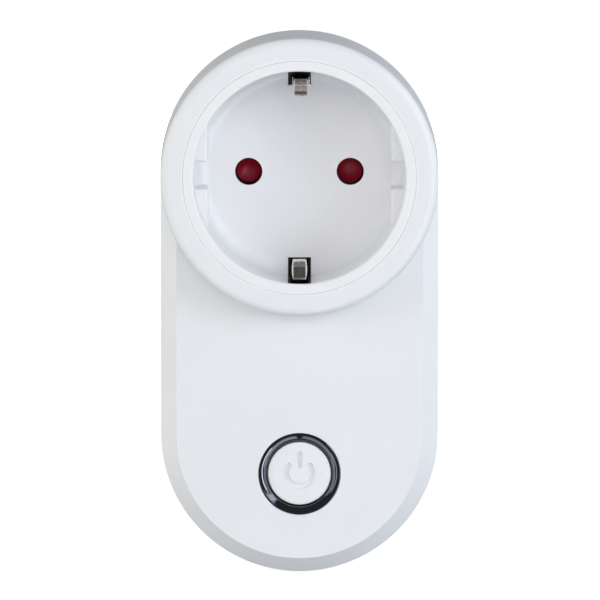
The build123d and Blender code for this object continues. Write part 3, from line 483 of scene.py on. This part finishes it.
# aside and bent are how far a leaf sits to the side and has taken a set, in millimetres; bands
# hold a distance behind the front end and the shade painted there for shadow and reflections
upperLeafPaint = {
    "name": "nickel_silver_painted_light_upper", "cheeks": (-1, 1), "aside": 0.25, "bent": -0.35,
    "rimStart": 9.0, "metal": 0.8,
    "bands": ((0.00, "78746a"), (0.52, "78746a"), (0.62, "aca69c"), (1.16, "aca69c"),
              (1.26, "f0ece2"), (1.42, "f0ece2"), (1.50, "b8b2a8"), (2.30, "ccc6bc"),
              (2.46, "7e706c"), (2.95, "7e706c"), (3.12, "d8d2c8"))}
lowerLeafPaint = {
    "name": "nickel_silver_painted_light_lower", "cheeks": (), "aside": 0.0, "bent": 0.35,
    "rimStart": 3.05, "metal": 0.25,
    "bands": ((0.00, "a5a298"), (0.38, "a5a298"), (0.48, "767870"), (2.06, "7e7f77"),
              (2.16, "bdb8ad"), (2.90, "c4beb3"), (3.05, "e8e2d8"))}


def bandRamp(tree, axes, front, bands):
    # the painted shade of the bands, by the distance behind the front end
    place = addNode(tree, "ShaderNodeMapRange", Value=axes["Y"],
                    From_Min=front, From_Max=front + leafPaintedLight["reach"] * mm)
    ramp = addNode(tree, "ShaderNodeValToRGB", Fac=place.outputs[0])
    stops = ramp.color_ramp.elements
    stops.remove(stops[1])
    stops[0].color = linearColour(bands[0][1])
    for at, shade in bands[1:]:
        stops.new(at / leafPaintedLight["reach"]).color = linearColour(shade)
    return ramp.outputs[0]


def leafMetal(placeAndPaint):
    # nickel silver, satin and specked on the lead-in plate, with painted reflections and shade in
    # bands and painted highlights along the rims
    material = rolled(placeAndPaint["name"], nickelLeaf)
    tree, shader = material.node_tree, material.node_tree.nodes["Principled BSDF"]
    axes = placed(tree)
    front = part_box("earth_contact_upper")[0].y
    soft, rim, middle = leafPaintedLight["soft"] * mm, leafPaintedLight["rim"] * mm, placeAndPaint["aside"] * mm
    plate = band(tree, axes["Y"], -farOff, front + leafPaintedLight["plate"] * mm, soft)
    between = band(tree, axes["X"], middle - rim, middle + rim, soft)
    before = band(tree, axes["Y"], -farOff, front + placeAndPaint["rimStart"] * mm, soft)
    zone = addNode(tree, "ShaderNodeMath", {"operation": "MULTIPLY"}, i0=between, i1=before)
    bandedZone = addNode(tree, "ShaderNodeMath", {"operation": "MULTIPLY"},
                   i0=zone.outputs[0], i1=plate).outputs[0]
    blended(tree, shader, "Roughness", plate, leafPaintedLight["satin"])
    blended(tree, shader, "Base Color", plate, leafPaintedLight["bright"])
    under = shader.inputs["Base Color"].links[0].from_socket
    share = leafPaintedLight["speckShare"]
    specks = addNode(tree, "ShaderNodeMapRange", Value=pattern(tree, leafPaintedLight["speck"]),
                     To_Min=1 + share, To_Max=1 - share).outputs[0]
    paintedBands = addNode(tree, "ShaderNodeVectorMath", {"operation": "SCALE"},
                     i0=bandRamp(tree, axes, front, placeAndPaint["bands"]), Scale=specks).outputs[0]
    # painted reflections and shade in bands over the middle of the plate
    mix = addNode(tree, "ShaderNodeMix", {"data_type": "RGBA"}, i0=bandedZone, i6=under, i7=paintedBands)
    tree.links.new(mix.outputs[2], shader.inputs["Base Color"])
    # painted highlight: the rims of the plate are made less of a mirror, so that their bright
    # colour shows
    rims = addNode(tree, "ShaderNodeMath", {"operation": "SUBTRACT"}, i0=plate, i1=bandedZone)
    metal = addNode(tree, "ShaderNodeMapRange", Value=rims.outputs[0],
                    To_Min=1.0, To_Max=placeAndPaint["metal"])
    tree.links.new(metal.outputs[0], shader.inputs["Metallic"])
    return material


# folded cheeks beside the run, in millimetres: start and length are behind the front end,
# low and high are the rise from the apex line
leafCheek = {"place": 1.51, "thickness": 0.18, "start": 2.1, "length": 3.0, "low": 1.7,
             "high": 3.35, "edge": 0.05}


def addLeaf(name, node, body, side, placeAndPaint):
    low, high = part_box(node)
    apex = low.z if side > 0 else -high.z
    rows, columns = earthLeaf["rows"], earthLeaf["columns"]
    plateLean = math.sqrt(0.5)  # the lead-in plate leans at 45 degrees, and its crown with it
    bm = bmesh.new()
    bmesh.ops.create_grid(bm, x_segments=len(columns) - 1, y_segments=len(rows) - 1, size=1.0)
    for vert in bm.verts:
        across = round((vert.co.x + 1) / 2 * (len(columns) - 1))
        along = round((vert.co.y + 1) / 2 * (len(rows) - 1))
        behind, rise, half, crown = rows[along]
        lift = crown * earthLeaf["crownShare"][across] * plateLean
        bent = placeAndPaint["bent"] * (1 - behind / earthLeaf["length"])
        vert.co = ((placeAndPaint["aside"] + columns[across] * half) * mm, low.y + (behind - lift) * mm,
                   side * (apex + (rise + bent - lift) * mm))
    leaf = finishMesh(name, bm, leafMetal(placeAndPaint))
    wall = leaf.modifiers.new("wall", "SOLIDIFY")
    wall.thickness = earthLeaf["thickness"] * mm
    wall.offset = 0
    soft = leaf.modifiers.new("soft", "SUBSURF")
    soft.levels = soft.render_levels = earthLeaf["smoothing"]
    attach(leaf, body)
    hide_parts(node)
    if placeAndPaint["cheeks"]:
        addCheeks(name + "_cheeks", body, side, apex, low.y, placeAndPaint)


def addCheeks(name, body, side, apex, front, placeAndPaint):
    bm = bmesh.new()
    start, length = leafCheek["start"], leafCheek["length"]
    low, high = leafCheek["low"], leafCheek["high"]
    scale = Vector((leafCheek["thickness"], length, high - low)) * mm
    for edge in placeAndPaint["cheeks"]:
        centre = ((placeAndPaint["aside"] + edge * leafCheek["place"]) * mm,
                  front + (start + length / 2) * mm, side * (apex + (low + high) / 2 * mm))
        bmesh.ops.create_cube(bm, size=1.0, matrix=Matrix.LocRotScale(centre, None, scale))
    bmesh.ops.bevel(bm, geom=bm.edges, offset=leafCheek["edge"] * mm, segments=2,
                    profile=0.5, affect="EDGES", material=-1)
    cheeks = finishMesh(name, bm, nickelStrip)
    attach(cheeks, body)


addButton()
addLightRing()
addLeaf("upper_earth_leaf", "earth_contact_upper", "upper_leaf", 1, upperLeafPaint)
addLeaf("lower_earth_leaf", "earth_contact_lower", "lower_leaf", -1, lowerLeafPaint)
print("button, ring and earth leaves made")

# floor and room glow with one strength for the camera, one for sharp and one for soft
# reflections, so that the ground stays pale while the gloss stays dark
stage = {"floorColour": "c8cacc", "floorRough": 0.9, "floorReach": 6.0,
         "floorSeen": 0.80, "floorGlossy": 0.11, "floorSoft": 0.077,
         "roomSeen": 1.1, "roomGlossy": 0.13, "roomSoft": 0.404,
         "roomTint": (0.93, 0.95, 1.0, 1.0)}
# cards that only gloss shows, for the streaks on the light guide
cardTint = (0.90, 0.91, 1.0)
cardDistance = 0.5
# azimuth, elevation and roll in degrees, width and height in metres, radiance
cards = {
    "low_card_right": (33, -36, 21, 0.445, 0.30, 2.2),
    "low_card_left": (-33, -36, -21, 0.445, 0.30, 1.6),
    "patch_near": (12.4, 2.8, 39.5, 0.14, 0.036, 3.4),
    "patch_middle": (29.9, 16.4, 36.5, 0.245, 0.080, 3.8),
    "patch_far": (58.2, 32.0, 24.6, 0.285, 0.120, 3.2),
    "slant_strip_right": (28, -6, 62, 0.36, 0.08, 8.0),
    "slant_strip_left": (-30, -4, -66, 0.34, 0.05, 3.6),
}
lightTarget = (0, -0.02, -0.012)  # the point that the soft lights face, in metres
# azimuth and elevation in degrees, size and distance in metres, power in watts, tint, and
# whether reflections show the light
lights = {
    "front": (0, 8, 0.75, 1.3, 3.20, (1.0, 0.92, 0.87), False),
    "key_right": (38, 15, 0.75, 1.3, 1.98, (0.87, 0.90, 1.0), False),
    "low_key_right": (48, 12, 0.5, 1.3, 2.39, (0.87, 1.0, 1.0), False),
    "fill_left": (-48, 12, 0.5, 1.3, 1.80, (1.0, 1.0, 0.87), False),
    "side_right": (80, 0, 2.0, 1.5, 13.20, (0.88, 0.90, 1.0), True),
    "side_left": (-80, 0, 2.0, 1.5, 14.19, (1.0, 0.97, 0.92), True),
    "behind": (180, 0, 0.75, 1.4, 6.0, (1.0, 1.0, 1.0), False),
}


def byRay(tree, seen, glossy, soft):
    # one value for camera rays, one for glossy rays and one for the rest
    path = addNode(tree, "ShaderNodeLightPath").outputs
    unseen = addNode(tree, "ShaderNodeMix", i0=path["Is Glossy Ray"], i2=soft, i3=glossy)
    value = addNode(tree, "ShaderNodeMix", i0=path["Is Camera Ray"], i2=unseen.outputs[0], i3=seen)
    return value.outputs[0]


def addFloor():
    material, tree, shader = newMaterial("pale_floor")
    shader.inputs["Base Color"].default_value = linearColour(stage["floorColour"])
    shader.inputs["Roughness"].default_value = stage["floorRough"]
    shader.inputs["Emission Color"].default_value = (1, 1, 1, 1)
    glow = byRay(tree, stage["floorSeen"], stage["floorGlossy"], stage["floorSoft"])
    tree.links.new(glow, shader.inputs["Emission Strength"])
    bm = bmesh.new()
    bmesh.ops.create_grid(bm, x_segments=1, y_segments=1, size=stage["floorReach"])
    bmesh.ops.translate(bm, vec=(0, 0, cadBox[0][2]), verts=bm.verts)
    floor = finishMesh("floor", bm, material)
    floor.visible_glossy = False


def addWorld():
    # the even glow of the room
    world = bpy.data.worlds.new("studio")
    bpy.context.scene.world = world
    world.use_nodes = True
    tree = world.node_tree
    tree.nodes.clear()
    strength = byRay(tree, stage["roomSeen"], stage["roomGlossy"], stage["roomSoft"])
    room = addNode(tree, "ShaderNodeBackground", Color=stage["roomTint"], Strength=strength)
    addNode(tree, "ShaderNodeOutputWorld", Surface=room.outputs[0])


def aimed(obj, target):
    # turns a light or camera towards a point
    direction = Vector(target) - obj.location
    obj.rotation_euler = direction.to_track_quat("-Z", "Y").to_euler()


def addLight(name, shape, sides, power, tint, azimuth, elevation, distance, centre, roll=0):
    # an area light seen from the centre at an azimuth from the front and an elevation
    data = bpy.data.lights.new(name, "AREA")
    data.shape = shape
    data.size, data.size_y = sides
    data.energy = power
    data.color = tint
    light = bpy.data.objects.new(name, data)
    turn, rise = math.radians(azimuth), math.radians(elevation)
    flat = math.cos(rise)
    away = Vector((math.sin(turn) * flat, -math.cos(turn) * flat, math.sin(rise)))
    light.location = centre + away * distance
    light.visible_camera = False
    bpy.context.scene.collection.objects.link(light)
    aimed(light, centre)
    light.rotation_euler.rotate_axis("Z", math.radians(roll))
    return light


def addSoftLights():
    for name, (azimuth, elevation, size, distance, power, tint, mirrored) in lights.items():
        light = addLight(name, "DISK", (size, size), power, tint, azimuth, elevation, distance,
                         Vector(lightTarget))
        light.visible_glossy = mirrored


def addCards():
    ringLow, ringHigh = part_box("light_ring")
    centre = (ringLow + ringHigh) / 2
    for name, (azimuth, elevation, roll, width, height, radiance) in cards.items():
        power = radiance * math.pi * width * height
        card = addLight(name, "RECTANGLE", (width, height), power, cardTint, azimuth, elevation,
                        cardDistance, centre, roll)
        card.visible_diffuse = False


# lens and sensor in millimetres, the rest in metres: a long lens from a little above
cameraView = {"lens": 316, "sensor": 36, "place": (0.0001, -1.006, 0.071),
              "target": (0.0001, -0.040, -0.0225)}


def addCamera():
    data = bpy.data.cameras.new("camera")
    data.sensor_width = cameraView["sensor"]
    data.lens = cameraView["lens"]
    camera = bpy.data.objects.new("camera", data)
    camera.location = cameraView["place"]
    bpy.context.scene.collection.objects.link(camera)
    aimed(camera, cameraView["target"])
    bpy.context.scene.camera = camera


addFloor()
addWorld()
addCamera()
addSoftLights()
addCards()
bpy.context.scene.view_settings.view_transform = "Standard"
bpy.context.scene.view_settings.look = "None"
print("stage set")
